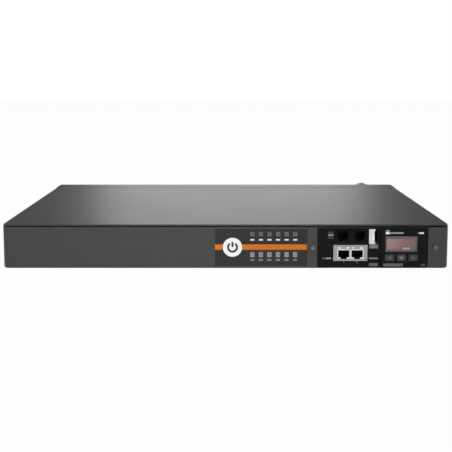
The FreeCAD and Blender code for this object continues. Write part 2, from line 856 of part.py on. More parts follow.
# Moulded outlet about its own origin, in the plane of the rear wall: a flange, a body behind the
# wall, a groove around the contact block, and a slot through the block for each contact.
def outlets():
    body = new_body()
    face = s.outlet_flange
    flange = rectangle(about(centred, outlet_width), about(centred, outlet_height))
    prism(body, "Pad", "XZ", (0, face), [flange])
    section = rectangle(about(centred, outlet_body_width), about(centred, outlet_body_height))
    prism(body, "Pad", "XZ", (-s.outlet_depth, 0), [section])
    rim = socket_outline(centred, s.socket_chamfer)
    block_edge = socket_outline(s.groove, s.socket_chamfer - s.groove_chamfer_loss)
    prism(body, "Pocket", "XZ", (face - s.socket_depth, face), [rim, block_edge])
    slots = [rectangle(about(x, s.slot_width), about(z, s.slot_height)) for x, z in pin_places]
    prism(body, "Pocket", "XZ", (-s.outlet_depth, face), slots)
    for index in range(int(s.outlet_count.value)):
        copy = group([body])
        for axis, size in zip("xyz", (first_outlet_x + outlet_pitch * index, rear, outlet_z)):
            bind(copy, f"Placement.Base.{axis}", size)
        node(f"outlet_{index + 1:02d}", copy)


bus_front = rear - s.outlet_depth - s.bus_standoff
bus_back = bus_front - s.bus_thickness
earth_front = bus_back - s.earth_setback
earth_back = earth_front - s.bus_thickness
near_plane = (bus_back, bus_front)
far_plane = (earth_back, earth_front)
support_right = first_outlet_x - outlet_body_width / 2 - s.part_gap
bus_left = support_right - s.support_grip
terminal_x = about(half - s.terminal_inset, s.terminal_width)
bus_right = terminal_x[0] + s.bus_reach
line_z = outlet_z - s.bus_low
neutral_z = outlet_z + (outlet_height - s.bus_height) / 2
earth_z = outlet_z + s.pin_drop


# Contact bar behind the outlets: a strip, and for each outlet two spring leaves. Where the strip
# lies off the slots, a riser joins it to the leaves.
def contact_bar(plane, strip_z, slot):
    slot_x = first_outlet_x + slot[0]
    slot_z = outlet_z + slot[1]
    body = new_body()
    prism(body, "Pad", "XZ", plane, [rectangle((bus_left, bus_right), about(strip_z, s.bus_height))])
    features = []
    leaf_z = about(slot_z, s.leaf_height)
    near_edge = s.leaf_gap / 2
    far_edge = near_edge + s.leaf_thickness
    if strip_z is not earth_z:
        riser_z = (leaf_z[0], strip_z) if slot_z.value < strip_z.value else (strip_z, leaf_z[1])
        riser = rectangle((slot_x - far_edge, slot_x + far_edge), riser_z)
        features.append(prism(body, "Pad", "XZ", plane, [riser]))
    leaves = [rectangle((slot_x - far_edge, slot_x - near_edge), leaf_z),
              rectangle((slot_x + near_edge, slot_x + far_edge), leaf_z)]
    leaf_end = rear - s.outlet_depth + s.leaf_length
    features.append(prism(body, "Pad", "XZ", (plane[1], leaf_end), leaves))
    repeat_along_x(body, features, outlet_run, s.outlet_count)
    return body


def contact_bars():
    node("line_bus", contact_bar(near_plane, line_z, pin_places[0]))
    node("neutral_bus", contact_bar(near_plane, neutral_z, pin_places[1]))
    earth = contact_bar(far_plane, earth_z, pin_places[2])
    # A leg at the strip's left end carries the earth to its foot on the tray's floor.
    leg_left = support_right + s.earth_foot_gap
    leg_x = (leg_left, leg_left + s.bus_height)
    prism(earth, "Pad", "XZ", far_plane, [rectangle(leg_x, (s.sheet, earth_z))])
    foot = (earth_back - s.bus_height, earth_back)
    prism(earth, "Pad", "XZ", foot, [rectangle(leg_x, (s.sheet, s.sheet + s.bus_thickness))])
    node("earth_bus", earth)


# Slots in which the three strips are held.
def strip_slots(x):
    strips = [(line_z, near_plane), (neutral_z, near_plane), (earth_z, far_plane)]
    return [block(x, inset(plane, -s.bus_fit), about(z, s.bus_height + s.bus_fit * 2)) for z, plane in strips]


def bar_supports():
    depth = (earth_back - s.support_margin, bus_front + s.support_margin)
    height = (s.sheet, neutral_z + s.bus_height / 2 + s.support_margin)
    left = (bus_left - s.support_wall, support_right)
    node("bus_support", cut(block(left, depth, height), *strip_slots((bus_left - s.bus_fit, left[1]))))
    entry_x = (terminal_x[1] - s.entry_depth, terminal_x[1])
    entry_y = about((earth_back + bus_front) / 2, s.entry_size)
    entries = [block(entry_x, entry_y, about(z, s.entry_size)) for z in (line_z, earth_z, neutral_z)]
    stops = strip_slots((terminal_x[0], bus_right + s.bus_fit))
    node("terminal_block", cut(block(terminal_x, depth, height), *stops, *entries))
    # The line strip runs through the window of the current transformer.
    right = terminal_x[0] - s.part_gap
    case_x = (right - s.transformer_width, right)
    window_y = about(middle(near_plane), s.transformer_window)
    window_up = about(line_z, s.transformer_window)
    case_z = (s.sheet, window_up[1] + s.transformer_wall / 2)
    case = block(case_x, inset(window_y, -s.transformer_wall), case_z)
    node("current_transformer", cut(case, block(case_x, window_y, window_up)))


gland_x = half - s.gland_inset
gland_z = s.case_height - s.gland_drop


# Gland in the corner of the rear: a body screwed through the wall, a nut behind it, and a dome nut.
def cord_gland():
    def along(y):
        return (gland_x, y, gland_z)

    stem_start = rear - s.sheet - s.gland_thread
    flange_end = rear + s.gland_hex_height
    flange = hexagon("y", along(rear), s.gland_hex, s.gland_hex_height)
    stem = rod("y", along(stem_start), s.gland_thread_radius, rear - stem_start)
    bore = rod("y", along(stem_start), s.gland_bore_radius, flange_end - stem_start)
    node("gland_body", cut(fuse(flange, stem), bore))
    grip = hexagon("y", along(flange_end), s.gland_hex, s.dome_grip)
    nose_length = s.dome_length - s.dome_grip
    nose = rod("y", along(flange_end + s.dome_grip), s.dome_radius, nose_length)
    mouth = rod("y", along(flange_end), s.gland_bore_radius, s.dome_length)
    node("gland_dome", cut(fuse(grip, nose), mouth))
    nut_start = rear - s.sheet - s.nut_height
    nut = hexagon("y", along(nut_start), s.gland_hex, s.nut_height)
    threaded = rod("y", along(nut_start), s.gland_thread_radius + s.gland_fit, s.nut_height)
    node("gland_locknut", cut(nut, threaded))


def write_parts():
    doc.recompute()
    for item in doc.Objects:
        if "Invalid" in item.State or "Error" in item.State:
            raise RuntimeError(f"{item.Name} ({item.Label}) did not build")
    for label, item in nodes.items():
        if item.Shape.isNull() or not item.Shape.isValid() or not item.Shape.Solids:
            raise RuntimeError(f"{label} has no valid solid")
    os.makedirs("parts", exist_ok=True)
    for label, item in nodes.items():
        item.Shape.exportStep(f"parts/{label}.step")
    print(f"{len(nodes)} pieces written")


base_tray()
top_cover()
front_panel()
rear_panel()
case_screws()
front_print()
module_faceplate()
module_screws()
module_front()
display()
keys()
jacks()
usb_port()
module_back()
meter_electronics()
outlets()
contact_bars()
bar_supports()
cord_gland()
write_parts()
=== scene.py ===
import math

import bmesh
import bpy
from mathutils import Matrix, Vector


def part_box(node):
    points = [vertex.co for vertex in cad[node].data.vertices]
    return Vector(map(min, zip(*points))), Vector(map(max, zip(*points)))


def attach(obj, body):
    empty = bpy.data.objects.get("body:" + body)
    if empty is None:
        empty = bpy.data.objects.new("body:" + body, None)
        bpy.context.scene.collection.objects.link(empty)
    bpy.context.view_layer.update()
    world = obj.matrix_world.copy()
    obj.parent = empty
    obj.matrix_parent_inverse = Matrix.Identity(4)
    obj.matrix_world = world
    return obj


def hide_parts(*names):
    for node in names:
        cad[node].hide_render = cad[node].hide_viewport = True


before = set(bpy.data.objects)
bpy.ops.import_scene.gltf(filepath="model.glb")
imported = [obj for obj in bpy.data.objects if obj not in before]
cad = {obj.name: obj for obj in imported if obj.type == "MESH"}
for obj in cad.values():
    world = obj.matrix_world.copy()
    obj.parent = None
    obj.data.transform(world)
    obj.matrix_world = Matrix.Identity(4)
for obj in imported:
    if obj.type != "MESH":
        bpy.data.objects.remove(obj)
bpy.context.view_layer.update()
mm = 0.001
unitBody = "unit"
keyNames = ("key_back", "key_select", "key_next")
outletNames = sorted(name for name in cad if name.startswith("outlet_"))
print("frame loaded with", len(cad), "nodes")


# finishes

noiseLook = {"grainDetail": 3.0, "cloudDetail": 2.0, "cloudLow": 0.3, "cloudHigh": 0.7, "edgeSamples": 4}


def startFinish(name, color, roughness, metallic=0.0):
    finish = bpy.data.materials.new(name)
    finish.use_nodes = True
    tree = finish.node_tree
    shader = tree.nodes["Principled BSDF"]
    shader.inputs["Base Color"].default_value = (*color, 1)
    shader.inputs["Roughness"].default_value = roughness
    shader.inputs["Metallic"].default_value = metallic
    return finish, tree, shader


def mathStep(tree, operation, first, second):
    step = tree.nodes.new("ShaderNodeMath")
    step.operation = operation
    for socket, value in zip(step.inputs, (first, second)):
        if isinstance(value, (int, float)):
            socket.default_value = value
        else:
            tree.links.new(value, socket)
    return step.outputs["Value"]


def noiseField(tree, scale, detail=4.0, stretch=(1, 1, 1)):
    place = tree.nodes.new("ShaderNodeTexCoord")
    sized = tree.nodes.new("ShaderNodeMapping")
    sized.inputs["Scale"].default_value = stretch
    noise = tree.nodes.new("ShaderNodeTexNoise")
    noise.inputs["Scale"].default_value = scale
    noise.inputs["Detail"].default_value = detail
    tree.links.new(place.outputs["Object"], sized.inputs["Vector"])
    tree.links.new(sized.outputs["Vector"], noise.inputs["Vector"])
    return noise.outputs["Fac"]


def colorRamp(tree, field, stops):
    ramp = tree.nodes.new("ShaderNodeValToRGB")
    steps = ramp.color_ramp.elements
    while len(steps) < len(stops):
        steps.new(0.5)
    for step, (position, color) in zip(steps, stops):
        step.position = position
        step.color = (*color, 1)
    tree.links.new(field, ramp.inputs["Fac"])
    return ramp.outputs["Color"]


def tintBy(tree, shader, field, color, spread):
    low = [channel * (1 - spread) for channel in color]
    high = [channel * (1 + spread) for channel in color]
    stops = ((noiseLook["cloudLow"], low), (noiseLook["cloudHigh"], high))
    tree.links.new(colorRamp(tree, field, stops), shader.inputs["Base Color"])


def roughenBy(tree, shader, field, low, high):
    span = tree.nodes.new("ShaderNodeMapRange")
    span.inputs["To Min"].default_value = low
    span.inputs["To Max"].default_value = high
    tree.links.new(field, span.inputs["Value"])
    tree.links.new(span.outputs["Result"], shader.inputs["Roughness"])


def grainBy(tree, shader, field, depth, strength, edge=0.0):
    bump = tree.nodes.new("ShaderNodeBump")
    bump.inputs["Strength"].default_value = strength
    bump.inputs["Distance"].default_value = depth
    tree.links.new(field, bump.inputs["Height"])
    if edge > 0:  # eases hard corners of moulded and folded pieces
        eased = tree.nodes.new("ShaderNodeBevel")
        eased.samples = noiseLook["edgeSamples"]
        eased.inputs["Radius"].default_value = edge
        tree.links.new(eased.outputs["Normal"], bump.inputs["Normal"])
    tree.links.new(bump.outputs["Normal"], shader.inputs["Normal"])


def coatedFinish(name, look):
    finish, tree, shader = startFinish(name, look["color"], look["roughness"], look.get("metallic", 0.0))
    fine = noiseField(tree, look["grainScale"], noiseLook["grainDetail"], look.get("stretch", (1, 1, 1)))
    broad = noiseField(tree, look["cloudScale"], noiseLook["cloudDetail"])
    tintBy(tree, shader, broad, look["color"], look["cloud"])
    spread = look["roughSpread"]
    roughenBy(tree, shader, broad, look["roughness"] - spread, look["roughness"] + spread)
    grainBy(tree, shader, fine, look["grainDepth"], look["grainStrength"], look.get("edge", 0.0))
    shader.inputs["Specular IOR Level"].default_value = look.get("specular", 0.5)
    return finish


# what the film and the inks have in common
printed = {"roughness": 0.5, "roughSpread": 0.03, "grainScale": 5200, "grainDepth": 0.00002,
           "grainStrength": 0.06, "cloudScale": 60, "cloud": 0.03}
finishLooks = {
    "casePaint": {"color": (0.0420, 0.0420, 0.0405), "roughness": 0.42, "roughSpread": 0.02, "grainScale": 2600,
                  "grainDepth": 0.00004, "grainStrength": 0.10, "cloudScale": 22, "cloud": 0.03,
                  "edge": 0.0003},
    "screwZinc": {"color": (0.207, 0.22, 0.234), "roughness": 0.40, "roughSpread": 0.05, "metallic": 1.0,
                  "grainScale": 900, "grainDepth": 0.00002, "grainStrength": 0.15, "cloudScale": 300,
                  "cloud": 0.08, "edge": 0.0002},
    "labelFilm": {**printed, "color": (0.0150, 0.0147, 0.0137), "roughness": 0.52, "grainStrength": 0.08,
                  "cloud": 0.04, "specular": 0.42},
    "stripeInk": {**printed, "color": (0.635, 0.158, 0.012), "roughness": 0.46, "cloudScale": 40, "cloud": 0.04,
                  "specular": 0.3},
    "whiteInk": {**printed, "color": (0.90, 0.90, 0.89), "roughness": 0.48, "cloud": 0.02},
    "paleInk": {**printed, "color": (0.30, 0.305, 0.31)},
    "greyInk": {**printed, "color": (0.115, 0.117, 0.12)},
    "midGreyInk": {**printed, "color": (0.20, 0.203, 0.206), "cloudScale": 400, "cloud": 0.18},
    "darkGreyInk": {**printed, "color": (0.050, 0.050, 0.052)},
    "readoutPale": {**printed, "color": (0.62, 0.51, 0.48), "roughness": 0.4, "grainDepth": 0.00001,
                    "grainStrength": 0.05, "cloudScale": 300, "cloud": 0.06},
    "darkInk": {**printed, "color": (0.022, 0.022, 0.023)},
    "moduleBlack": {"color": (0.0050, 0.0050, 0.0053), "roughness": 0.5, "roughSpread": 0.04, "grainScale": 4200,
                    "grainDepth": 0.00006, "grainStrength": 0.22, "cloudScale": 70, "cloud": 0.05,
                    "edge": 0.0003, "specular": 0.12},
    "jackBlack": {"color": (0.0035, 0.0035, 0.0037), "roughness": 0.45, "roughSpread": 0.04, "grainScale": 3200,
                  "grainDepth": 0.00003, "grainStrength": 0.12, "cloudScale": 90, "cloud": 0.05,
                  "edge": 0.0002, "specular": 0.12},
    "outletBlack": {"color": (0.015, 0.015, 0.016), "roughness": 0.36, "roughSpread": 0.04, "grainScale": 3000,
                    "grainDepth": 0.00004, "grainStrength": 0.16, "cloudScale": 80, "cloud": 0.05,
                    "edge": 0.0003},
    "keyRubber": {"color": (0.034, 0.038, 0.037), "roughness": 0.62, "roughSpread": 0.04, "grainScale": 4000,
                  "grainDepth": 0.00004, "grainStrength": 0.15, "cloudScale": 120, "cloud": 0.05,
                  "edge": 0.0003},
    "keyInk": {**printed, "color": (0.12, 0.155, 0.148), "roughness": 0.55, "cloudScale": 90, "cloud": 0.04},
    "smokedLens": {"color": (0.004, 0.004, 0.004), "roughness": 0.12, "roughSpread": 0.02, "grainScale": 900,
                   "grainDepth": 0.00001, "grainStrength": 0.05, "cloudScale": 120, "cloud": 0.05,
                   "specular": 0.1},
    "lightWindow": {"color": (0.88, 0.90, 0.84), "roughness": 0.3, "roughSpread": 0.02, "grainScale": 900,
                    "grainDepth": 0.00001, "grainStrength": 0.05, "cloudScale": 200, "cloud": 0.03},
    "shieldSteel": {"color": (0.44, 0.44, 0.435), "roughness": 0.36, "roughSpread": 0.05, "metallic": 1.0,
                    "grainScale": 1500, "grainDepth": 0.00002, "grainStrength": 0.2, "cloudScale": 260,
                    "cloud": 0.06, "stretch": (0.15, 1, 1), "edge": 0.00012},
    # near-white steel for the small port's shell; on the rims round the network ports it also paints highlights
    "brightSteelAndRimHighlight": {"color": (0.93, 0.93, 0.92), "roughness": 0.30, "roughSpread": 0.04, "metallic": 1.0,
                 "grainScale": 1500, "grainDepth": 0.00001, "grainStrength": 0.12, "cloudScale": 260,
                 "cloud": 0.03, "stretch": (0.15, 1, 1), "edge": 0.00012},
    "usbWhite": {"color": (0.90, 0.90, 0.90), "roughness": 0.4, "roughSpread": 0.03, "grainScale": 3000,
                 "grainDepth": 0.00002, "grainStrength": 0.08, "cloudScale": 120, "cloud": 0.02,
                 "edge": 0.0002},
    "contactGold": {"color": (0.78, 0.56, 0.24), "roughness": 0.28, "roughSpread": 0.05, "metallic": 1.0,
                    "grainScale": 1500, "grainDepth": 0.00001, "grainStrength": 0.1, "cloudScale": 200,
                    "cloud": 0.06},
    "boardGreen": {"color": (0.018, 0.085, 0.04), "roughness": 0.4, "roughSpread": 0.05, "grainScale": 1200,
                   "grainDepth": 0.00003, "grainStrength": 0.12, "cloudScale": 110, "cloud": 0.12},
    "insulatorGrey": {"color": (0.46, 0.46, 0.44), "roughness": 0.5, "roughSpread": 0.04, "grainScale": 2600,
                      "grainDepth": 0.00003, "grainStrength": 0.12, "cloudScale": 90, "cloud": 0.03,
                      "edge": 0.0003},
    "glandBlack": {"color": (0.022, 0.022, 0.023), "roughness": 0.46, "roughSpread": 0.04, "grainScale": 2600,
                   "grainDepth": 0.00004, "grainStrength": 0.16, "cloudScale": 80, "cloud": 0.05,
                   "edge": 0.0004},
    "sealRubber": {"color": (0.012, 0.012, 0.012), "roughness": 0.75, "roughSpread": 0.03, "grainScale": 2200,
                   "grainDepth": 0.00005, "grainStrength": 0.2, "cloudScale": 90, "cloud": 0.05},
}
finishes = {name: coatedFinish(name, look) for name, look in finishLooks.items()}


windowLook = {"tint": (0.95, 0.92, 0.91), "roughness": 0.06, "bend": 1.4, "hazeScale": 400,
              "haze": (0.04, 0.09)}


def windowFinish():
    finish, tree, shader = startFinish("displayWindow", windowLook["tint"], windowLook["roughness"])
    shader.inputs["Transmission Weight"].default_value = 1.0
    shader.inputs["IOR"].default_value = windowLook["bend"]
    roughenBy(tree, shader, noiseField(tree, windowLook["hazeScale"]), *windowLook["haze"])
    return finish


displayLook = {"left": 3.0, "right": 30.5, "bottom": 3.0, "top": 14.2, "fade": 0.5, "roughness": 0.35,
               "frame": (0.055, 0.047, 0.042), "acrossShare": 0.75, "upShare": 0.25, "slantStart": 0.27,
               "stops": ((0.05, (0.29, 0.235, 0.210)), (0.36, (0.23, 0.155, 0.135)),
                         (0.58, (0.17, 0.062, 0.060)), (0.95, (0.075, 0.050, 0.044))),
               "cell": 0.45, "cellGap": 0.04, "grid": (0.13, 0.075, 0.066), "glow": 0.42}


# lit field in a dim frame, pale at the left and red towards the lower right, in a raster of small cells
def displayFinish():
    finish, tree, shader = startFinish("displayField", displayLook["frame"], displayLook["roughness"])
    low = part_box("display_panel")[0]
    place = tree.nodes.new("ShaderNodeTexCoord")
    split = tree.nodes.new("ShaderNodeSeparateXYZ")
    tree.links.new(place.outputs["Object"], split.inputs["Vector"])
    across = mathStep(tree, "DIVIDE", mathStep(tree, "SUBTRACT", split.outputs["X"], low.x), mm)
    up = mathStep(tree, "DIVIDE", mathStep(tree, "SUBTRACT", split.outputs["Z"], low.z), mm)
    sides = mathStep(tree, "MINIMUM", mathStep(tree, "SUBTRACT", across, displayLook["left"]),
                     mathStep(tree, "SUBTRACT", displayLook["right"], across))
    ends = mathStep(tree, "MINIMUM", mathStep(tree, "SUBTRACT", up, displayLook["bottom"]),
                    mathStep(tree, "SUBTRACT", displayLook["top"], up))
    lit = mathStep(tree, "DIVIDE", mathStep(tree, "MINIMUM", sides, ends), displayLook["fade"])
    rightwards = mathStep(tree, "MULTIPLY", across, displayLook["acrossShare"] / displayLook["right"])
    upwards = mathStep(tree, "MULTIPLY", up, displayLook["upShare"] / displayLook["top"])
    slant = mathStep(tree, "SUBTRACT", rightwards, upwards)
    field = colorRamp(tree, mathStep(tree, "ADD", slant, displayLook["slantStart"]), displayLook["stops"])
    flat = tree.nodes.new("ShaderNodeCombineXYZ")
    tree.links.new(across, flat.inputs["X"])
    tree.links.new(up, flat.inputs["Y"])
    raster = tree.nodes.new("ShaderNodeTexBrick")
    raster.offset = 0.0
    rasterSizes = {"Scale": 1.0, "Brick Width": displayLook["cell"], "Row Height": displayLook["cell"],
                   "Mortar Size": displayLook["cellGap"], "Mortar": (*displayLook["grid"], 1)}
    for socket, value in rasterSizes.items():
        raster.inputs[socket].default_value = value
    tree.links.new(flat.outputs["Vector"], raster.inputs["Vector"])
    for socket in ("Color1", "Color2"):
        tree.links.new(field, raster.inputs[socket])
    mixed = tree.nodes.new("ShaderNodeMix")
    mixed.data_type = "RGBA"
    mixed.inputs["A"].default_value = (*displayLook["frame"], 1)
    tree.links.new(lit, mixed.inputs["Factor"])
    tree.links.new(raster.outputs["Color"], mixed.inputs["B"])
    tree.links.new(mixed.outputs["Result"], shader.inputs["Base Color"])
    tree.links.new(mixed.outputs["Result"], shader.inputs["Emission Color"])
    shader.inputs["Emission Strength"].default_value = displayLook["glow"]
    return finish


finishes["displayWindow"] = windowFinish()
finishes["displayField"] = displayFinish()

nodeFinishes = {
    "casePaint": ("base_tray", "top_cover", "front_panel", "rear_panel", "module_faceplate"),
    "screwZinc": ("case_screws", "module_screws", "board_standoffs"),
    "labelFilm": ("front_label",),
    "stripeInk": ("accent_stripe",),
    "whiteInk": ("roundel",),
    "moduleBlack": ("module_front", "display_bezel", "module_housing", "module_connector", "meter_socket",
                    "power_supply", "key_switches"),
    "jackBlack": ("sensor_jack_left", "sensor_jack_right", "network_jack_insert"),
    "displayWindow": ("display_window",),
    "displayField": ("display_panel",),
    "boardGreen": ("display_board", "module_board", "meter_board"),
    "keyRubber": keyNames,
    "smokedLens": ("status_lens",),
    "lightWindow": ("network_leds",),
    "shieldSteel": ("network_jack_shell",),
    "brightSteelAndRimHighlight": ("usb_shell",),
    "usbWhite": ("usb_tongue",),
    "contactGold": ("jack_contacts", "line_bus", "neutral_bus", "earth_bus"),
    "outletBlack": outletNames,
    "insulatorGrey": ("bus_support", "terminal_block", "current_transformer"),
    "glandBlack": ("gland_body", "gland_dome", "gland_locknut"),
}
for finishName, members in nodeFinishes.items():
    for member in members:
        for materialSlot in cad[member].material_slots:
            materialSlot.material = finishes[finishName]
print("finishes set on", sum(len(members) for members in nodeFinishes.values()), "nodes")


# mesh helpers, all in millimetres until the piece is made

letterScale = 1.4  # font size over the height of a number
sharpAngle = math.radians(35)


def addPlate(shape, across, up, face, depth):
    corners = [(x, y, z) for x in across for y in (face, face + depth) for z in up]
    points = [shape.verts.new(Vector(corner) * mm) for corner in corners]
    for quad in ((0, 1, 5, 4), (2, 6, 7, 3), (0, 2, 3, 1), (4, 5, 7, 6), (0, 4, 6, 2), (1, 3, 7, 5)):
        shape.faces.new([points[index] for index in quad])


# flat closed outline in the front plane, given depth
def addOutline(shape, outline, face, depth):
    fronts = [shape.verts.new(Vector((x, face, z)) * mm) for x, z in outline]
    backs = [shape.verts.new(Vector((x, face + depth, z)) * mm) for x, z in outline]
    shape.faces.new(fronts)
    shape.faces.new(list(reversed(backs)))
    count = len(outline)
    for index in range(count):
        after = (index + 1) % count
        shape.faces.new([fronts[after], fronts[index], backs[index], backs[after]])


# rectangle with rounded corners, as an outline
def softRectangle(across, up, radius, steps=4):
    outline = []
    corners = ((across[1] - radius, up[1] - radius, 0), (across[0] + radius, up[1] - radius, 90),
               (across[0] + radius, up[0] + radius, 180), (across[1] - radius, up[0] + radius, 270))
    for x, z, start in corners:
        for step in range(steps + 1):
            angle = math.radians(start + 90 * step / steps)
            outline.append((x + radius * math.cos(angle), z + radius * math.sin(angle)))
    return outline


def addText(shape, words, middle, height, face, depth):
    letters = bpy.data.curves.new("letters", "FONT")
    letters.body = words
    letters.size = height * mm * letterScale
    letters.align_x = "CENTER"
    letters.align_y = "CENTER"
    letters.extrude = depth * mm / 2
    holder = bpy.data.objects.new("letters", letters)
    solid = bpy.data.meshes.new_from_object(holder)
    stand = Matrix.Translation(Vector((middle[0], face + depth / 2, middle[1])) * mm)
    solid.transform(stand @ Matrix.Rotation(math.radians(90), 4, "X"))
    shape.from_mesh(solid)
    bpy.data.objects.remove(holder)
    bpy.data.meshes.remove(solid)
    bpy.data.curves.remove(letters)


def joinRings(shape, rings):
    for lower, upper in zip(rings, rings[1:]):
        for step in range(len(lower)):
            shape.faces.new([lower[step - 1], lower[step], upper[step], upper[step - 1]])


# rings of points turned about the local Z axis, joined by faces from the first ring to the last
def addTurned(shape, place, profile, steps):
    rings = []
    for radius, level in profile:
        turns = [2 * math.pi * step / steps for step in range(steps)]
        points = [Vector((radius * math.cos(turn), radius * math.sin(turn), level)) for turn in turns]
        rings.append([shape.verts.new(place @ (point * mm)) for point in points])
    joinRings(shape, rings)
    return rings


def makePiece(name, shape, finish, body, smooth=False):
    bmesh.ops.recalc_face_normals(shape, faces=shape.faces)
    mesh = bpy.data.meshes.new(name)
    shape.to_mesh(mesh)
    shape.free()
    mesh.materials.append(finishes[finish])
    if smooth:
        mesh.shade_smooth()
        mesh.set_sharp_from_angle(angle=sharpAngle)
    piece = bpy.data.objects.new(name, mesh)
    bpy.context.scene.collection.objects.link(piece)
    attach(piece, body)
    return piece


def boxMm(node):
    low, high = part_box(node)
    return low / mm, high / mm


# print on the film label: a column of marks for each pair of outlets

labelPrint = {"columns": 6, "pitch": 8.43, "firstColumn": 36.7, "halfWidth": 2.05, "inkDepth": 0.05,
              "corner": 0.5, "upperSquare": (32.2, 36.5), "upperBar": (27.9, 29.35),
              "lowerSquare": (11.3, 16.2), "lowerBar": (7.5, 9.3), "numberHeight": 2.4,
              "inks": {"upperSquare": "greyInk", "upperBar": "whiteInk", "lowerSquare": "paleInk",
                       "lowerBar": "midGreyInk"}}


def printLabel():
    low = boxMm("front_label")[0]
    depth = labelPrint["inkDepth"]
    face = low.y - depth
    half = labelPrint["halfWidth"]
    shapes = {name: bmesh.new() for name in labelPrint["inks"]}
    numbers = bmesh.new()
    for column in range(labelPrint["columns"]):
        x = low.x + labelPrint["firstColumn"] + labelPrint["pitch"] * column
        for name, shape in shapes.items():
            outline = softRectangle((x - half, x + half), labelPrint[name], labelPrint["corner"])
            addOutline(shape, outline, face, depth)
        for name, number in (("upperSquare", column + 1), ("lowerSquare", column + 1 + labelPrint["columns"])):
            z = sum(labelPrint[name]) / 2
            addText(numbers, str(number), (x, z), labelPrint["numberHeight"], face - depth, depth)
    for name, shape in shapes.items():
        makePiece(f"label_{name}", shape, labelPrint["inks"][name], unitBody)
    makePiece("label_numbers", numbers, "darkInk", unitBody)


# plain power sign on the roundel: a ring with a gap at its top, and a bar in the gap

signLook = {"radius": 4.4, "stroke": 2.0, "gapDegrees": 35, "steps": 40, "barTop": 5.4, "barBottom": 0.4,
            "inkDepth": 0.05}


def printRoundel():
    low, high = boxMm("roundel")
    middle = (low + high) / 2
    face = low.y - signLook["inkDepth"]
    inner = signLook["radius"] - signLook["stroke"] / 2
    outer = signLook["radius"] + signLook["stroke"] / 2
    start = math.radians(90 + signLook["gapDegrees"])
    sweep = math.radians(360 - 2 * signLook["gapDegrees"])
    angles = [start + sweep * step / signLook["steps"] for step in range(signLook["steps"] + 1)]
    sign = bmesh.new()
    ring = [(middle.x + outer * math.cos(a), middle.z + outer * math.sin(a)) for a in angles]
    ring += [(middle.x + inner * math.cos(a), middle.z + inner * math.sin(a)) for a in reversed(angles)]
    addOutline(sign, ring, face, signLook["inkDepth"])
    half = signLook["stroke"] / 2
    addPlate(sign, (middle.x - half, middle.x + half),
             (middle.z + signLook["barBottom"], middle.z + signLook["barTop"]), face, signLook["inkDepth"])
    makePiece("roundel_sign", sign, "darkInk", unitBody)


# small marks beside the ports and round the display, as left, right, bottom and top from the piece's corner

legendLook = {
    "inkDepth": 0.05,
    "module_front": {
        "paleInk": ((8.4, 13.4, 8.4, 10.0),),
        "midGreyInk": ((10.4, 15.6, 31.3, 33.7), (50.9, 59.6, 8.4, 10.0), (50.9, 59.6, 19.2, 23.4)),
        "greyInk": ((5.0, 7.8, 8.4, 10.0), (50.9, 59.6, 1.5, 4.5)),
        "darkGreyInk": ((10.4, 15.6, 34.7, 35.8), (10.4, 15.6, 28.9, 30.2)),
    },
    "display_bezel": {
        "whiteInk": ((4.6, 8.4, 33.9, 36.0), (37.2, 41.8, 34.2, 35.8)),
        "paleInk": ((4.6, 8.4, 36.2, 37.9), (8.9, 22.0, 34.2, 35.8)),
        "greyInk": ((2.7, 22.0, 1.8, 4.8), (35.6, 36.8, 34.2, 35.8)),
        "darkGreyInk": ((39.8, 43.6, 1.8, 4.4),),
    },
    "portNumbers": ((26.0, 5.2), (39.2, 5.2)), "portNumberHeight": 2.0,
}


def printLegends():
    depth = legendLook["inkDepth"]
    for node in ("module_front", "display_bezel"):
        low = boxMm(node)[0]
        for finish, marks in legendLook[node].items():
            shape = bmesh.new()
            for left, right, bottom, top in marks:
                across, up = (low.x + left, low.x + right), (low.z + bottom, low.z + top)
                addPlate(shape, across, up, low.y - depth, depth)
            makePiece(f"{node}_{finish}", shape, finish, unitBody)
    low = boxMm("module_front")[0]
    numbers = bmesh.new()
    for number, (across, up) in enumerate(legendLook["portNumbers"], start=1):
        addText(numbers, str(number), (low.x + across, low.z + up), legendLook["portNumberHeight"],
                low.y - depth, depth)
    makePiece("port_numbers", numbers, "paleInk", unitBody)


# moulded keys with a rounded rim and a sunk face, as inset and depth behind the front of each ring
# from the lip to the face; the sign lies in the face and travels with the key

keyLook = {"rings": ((0.0, 3.95), (0.0, 3.15), (0.6, 3.15), (0.6, 0.5), (0.68, 0.24), (0.9, 0.07), (1.2, 0.0),
                     (1.5, 0.05), (1.9, 0.14)),
           "corner": 1.0, "signDepth": 0.06, "signSize": 1.9, "signRise": 0.8, "signTail": 0.7,
           "signCorner": 0.4}


def addKeySign(shape, name, middle, face):
    size = keyLook["signSize"]
    up = (middle.z - size * keyLook["signRise"], middle.z + size * keyLook["signRise"])
    if name == "key_select":
        outline = softRectangle((middle.x - size, middle.x + size), up, keyLook["signCorner"])
    else:
        way = -1 if name == "key_back" else 1
        tail = middle.x - way * size * keyLook["signTail"]
        outline = [(middle.x + way * size, middle.z), (tail, up[1]), (tail, up[0])]
    addOutline(shape, outline, face, keyLook["signDepth"])


def mouldKeys():
    for name in keyNames:
        low, high = boxMm(name)
        shape = bmesh.new()
        rings = []
        for margin, depth in keyLook["rings"]:
            outline = softRectangle((low.x + margin, high.x - margin), (low.z + margin, high.z - margin),
                                    keyLook["corner"])
            rings.append([shape.verts.new(Vector((x, low.y + depth, z)) * mm) for x, z in outline])
        joinRings(shape, rings)
        shape.faces.new(rings[0])
        shape.faces.new(rings[-1])
        key = makePiece(f"{name}_cap", shape, "keyRubber", name, smooth=True)
        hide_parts(name)
        sign = bmesh.new()
        face = low.y + keyLook["rings"][-1][1] - keyLook["signDepth"]
        addKeySign(sign, name, (low + high) / 2, face)
        makePiece(f"{name}_sign", sign, "keyInk", name)


# a short readout on the display, in the gap between its panel and the window

readoutLook = {"inkDepth": 0.05, "corner": 0.3, "up": (3.4, 5.4),
               "across": ((18.6, 20.4), (21.0, 22.8), (23.4, 25.2))}


